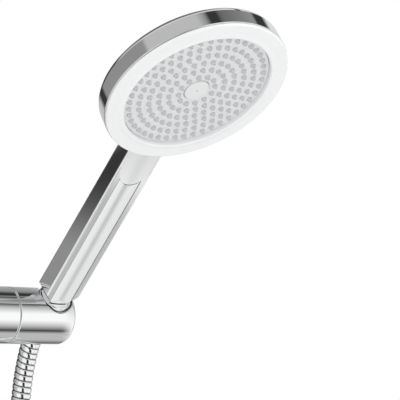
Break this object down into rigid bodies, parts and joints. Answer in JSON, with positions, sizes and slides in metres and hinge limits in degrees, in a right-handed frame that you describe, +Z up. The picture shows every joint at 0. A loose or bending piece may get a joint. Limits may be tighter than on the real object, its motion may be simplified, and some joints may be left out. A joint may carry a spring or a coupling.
{
  "type": "handheld shower head",
  "caption": "Handheld shower head with a large round spray face and a flat bar handle, resting in a swivelling wall holder, with its metal hose.",
  "frame": {"origin": "middle of the wall plate's back face, where the holder stands against the wall", "axes": "+X along the holder's barrel towards its free end, +Y into the wall, +Z up; the spray head leans out towards -Y"},
  "size_m": [0.164, 0.2711, 0.524],
  "materials": {
    "chrome": "mirror polished plating",
    "satin": "fine satin plating",
    "brass": "machined",
    "steel": "plain steel",
    "white": "smooth white plastic",
    "soft_white": "soft translucent nozzles on a white plate",
    "grey": "fine matt",
    "rubber": "matt black seal",
    "dark": "matt"
  },
  "bodies": {
    "bracket": {"wall_plate": "steel", "grub_screw": "steel", "bracket_body": "chrome", "end_cap": "chrome", "pivot_bolt": "steel", "spring_washer": "steel", "friction_ring": "grey"},
    "swivel_barrel": {"front_barrel": "chrome", "cone_bush": "grey", "hose_ferrule": "brass"},
    "handset": {"body_shell": "chrome", "handle_panel": "satin", "waterway_tube": "white", "tube_seal": "rubber", "inlet_spigot": "brass", "flow_regulator": "dark", "filter_washer": "rubber", "cone_nut": "chrome", "face_ring": "white", "spray_plate": "soft_white", "centre_cap": "white", "centre_screw": "steel", "chamber_ring": "rubber", "distributor_disc": "grey"},
    "hose": {"hose_tube": "chrome", "hose_coil": "chrome", "coil_tie": "dark", "hose_tail": "chrome", "tail_ferrule": "brass", "end_washer": "rubber"},
    "lower_nut": {"hex_nut": "chrome"}
  },
  "joints": [
    {"name": "holder_tilt", "type": "hinge", "parent": "bracket", "child": "swivel_barrel", "pos_m": [0.055, -0.052, 0], "axis": [1, 0, 0], "range_deg": [-40, 35], "deforming": ["hose_tube"]},
    {"name": "handset_turn", "type": "hinge", "parent": "swivel_barrel", "child": "handset", "pos_m": [0.055, -0.052, 0], "axis": [0, -0.7071, 0.7071], "continuous": true},
    {"name": "hose_hang", "type": "hinge", "parent": "swivel_barrel", "child": "hose", "pos_m": [0.055, -0.0361, -0.0187], "axis": [1, 0, 0], "range_deg": [-35, 40], "deforming": ["hose_tube"]},
    {"name": "lower_nut_spin", "type": "hinge", "parent": "hose", "child": "lower_nut", "pos_m": [0.125, -0.0648, -0.33519], "axis": [0, 0, 1], "continuous": true}
  ],
  "couplings": [
    {"joint": "hose_hang", "follows": "holder_tilt", "ratio": -1}
  ]
}
